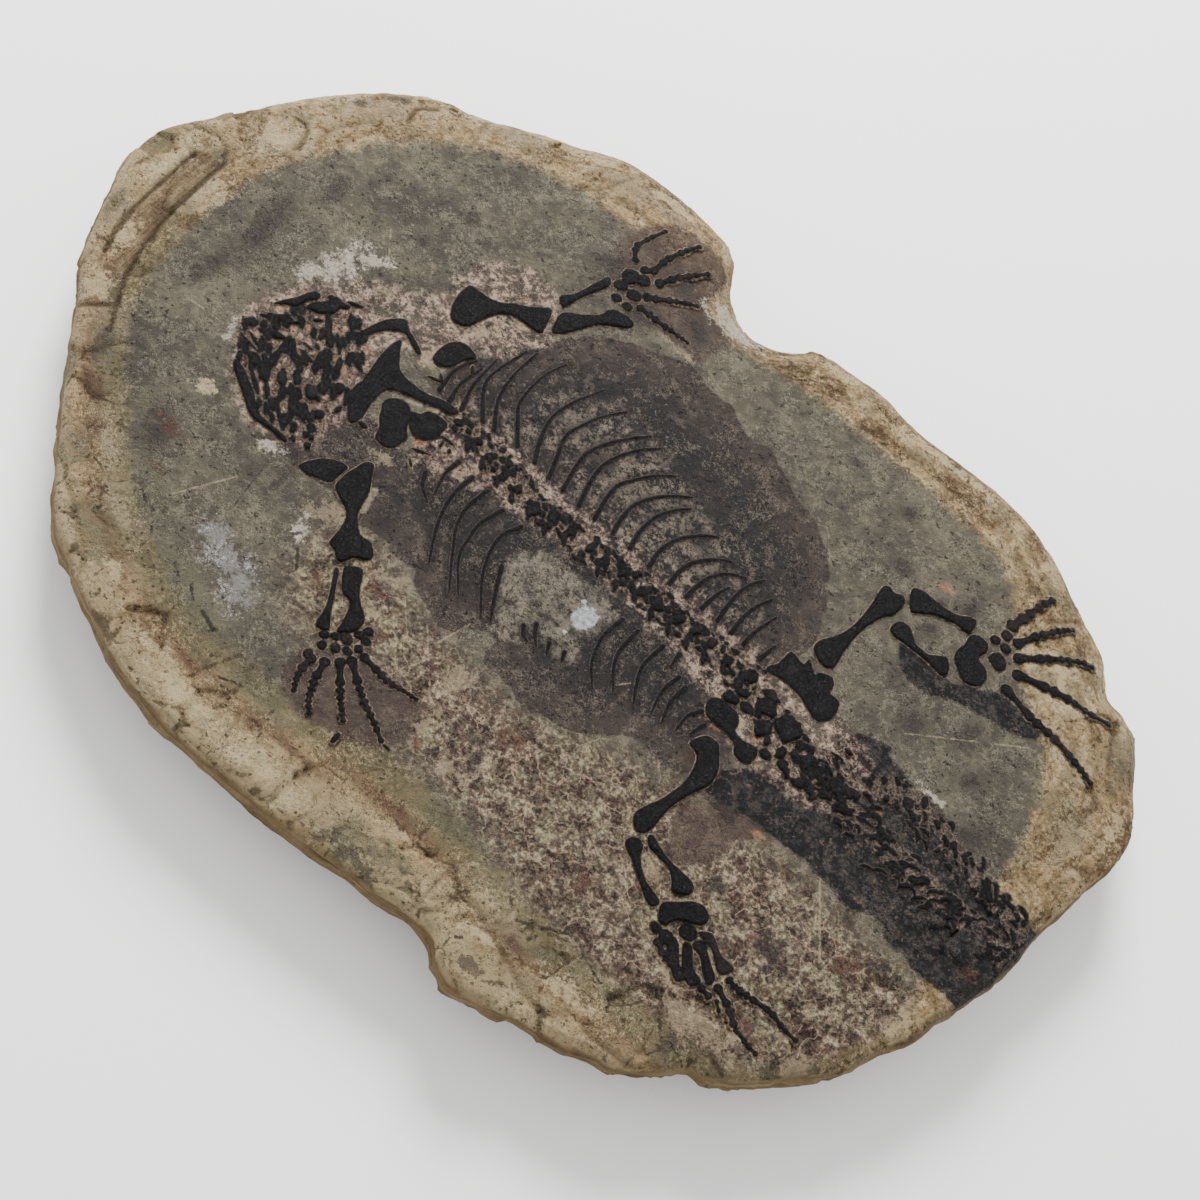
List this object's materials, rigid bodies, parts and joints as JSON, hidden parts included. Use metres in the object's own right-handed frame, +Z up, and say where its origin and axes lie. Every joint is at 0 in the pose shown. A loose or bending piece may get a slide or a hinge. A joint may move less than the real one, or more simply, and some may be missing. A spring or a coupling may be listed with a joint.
{
  "type": "fossil reptile slab",
  "caption": "Half of a split mudstone nodule, lying flat, with a small flattened fossil reptile skeleton on its face.",
  "frame": {"origin": "on the flat resting face under the slab, below the reptile's trunk", "axes": "+X along the slab and the reptile's spine, from head to tail; +Y to the slab's back edge; +Z up, out of the split face"},
  "size_m": [0.3372, 0.2367, 0.0303],
  "materials": {
    "mudstone": "matt grey-olive mudstone, tan at the rim, with a dark body-shaped stain",
    "fossil_bone": "near-black satin fossil bone"
  },
  "bodies": {
    "root": {"slab": "mudstone", "ankle_far": "fossil_bone", "ankle_near": "fossil_bone", "clavicle_far": "fossil_bone", "coracoid_far": "fossil_bone", "coracoid_near": "fossil_bone", "femur_far": "fossil_bone", "femur_near": "fossil_bone", "fibula_far": "fossil_bone", "fibula_near": "fossil_bone", "foot_far": "fossil_bone", "foot_near": "fossil_bone", "hand_far": "fossil_bone", "hand_near": "fossil_bone", "humerus_far": "fossil_bone", "humerus_near": "fossil_bone", "interclavicle": "fossil_bone", "lower_jaw_far": "fossil_bone", "lower_jaw_near": "fossil_bone", "pelvis_far": "fossil_bone", "pelvis_near": "fossil_bone", "radius_far": "fossil_bone", "radius_near": "fossil_bone", "rib_far_01": "fossil_bone", "rib_far_02": "fossil_bone", "rib_far_03": "fossil_bone", "rib_far_04": "fossil_bone", "rib_far_05": "fossil_bone", "rib_far_06": "fossil_bone", "rib_far_07": "fossil_bone", "rib_far_08": "fossil_bone", "rib_far_09": "fossil_bone", "rib_far_10": "fossil_bone", "rib_far_11": "fossil_bone", "rib_far_12": "fossil_bone", "rib_far_13": "fossil_bone", "rib_far_14": "fossil_bone", "rib_far_15": "fossil_bone", "rib_far_16": "fossil_bone", "rib_far_17": "fossil_bone", "rib_far_18": "fossil_bone", "rib_far_19": "fossil_bone", "rib_near_01": "fossil_bone", "rib_near_02": "fossil_bone", "rib_near_03": "fossil_bone", "rib_near_04": "fossil_bone", "rib_near_05": "fossil_bone", "rib_near_06": "fossil_bone", "rib_near_07": "fossil_bone", "rib_near_08": "fossil_bone", "rib_near_09": "fossil_bone", "scapula_far": "fossil_bone", "scapula_near": "fossil_bone", "skull": "fossil_bone", "tail": "fossil_bone", "tibia_far": "fossil_bone", "tibia_near": "fossil_bone", "ulna_far": "fossil_bone", "ulna_near": "fossil_bone", "vertebral_column": "fossil_bone"}
  },
  "joints": []
}
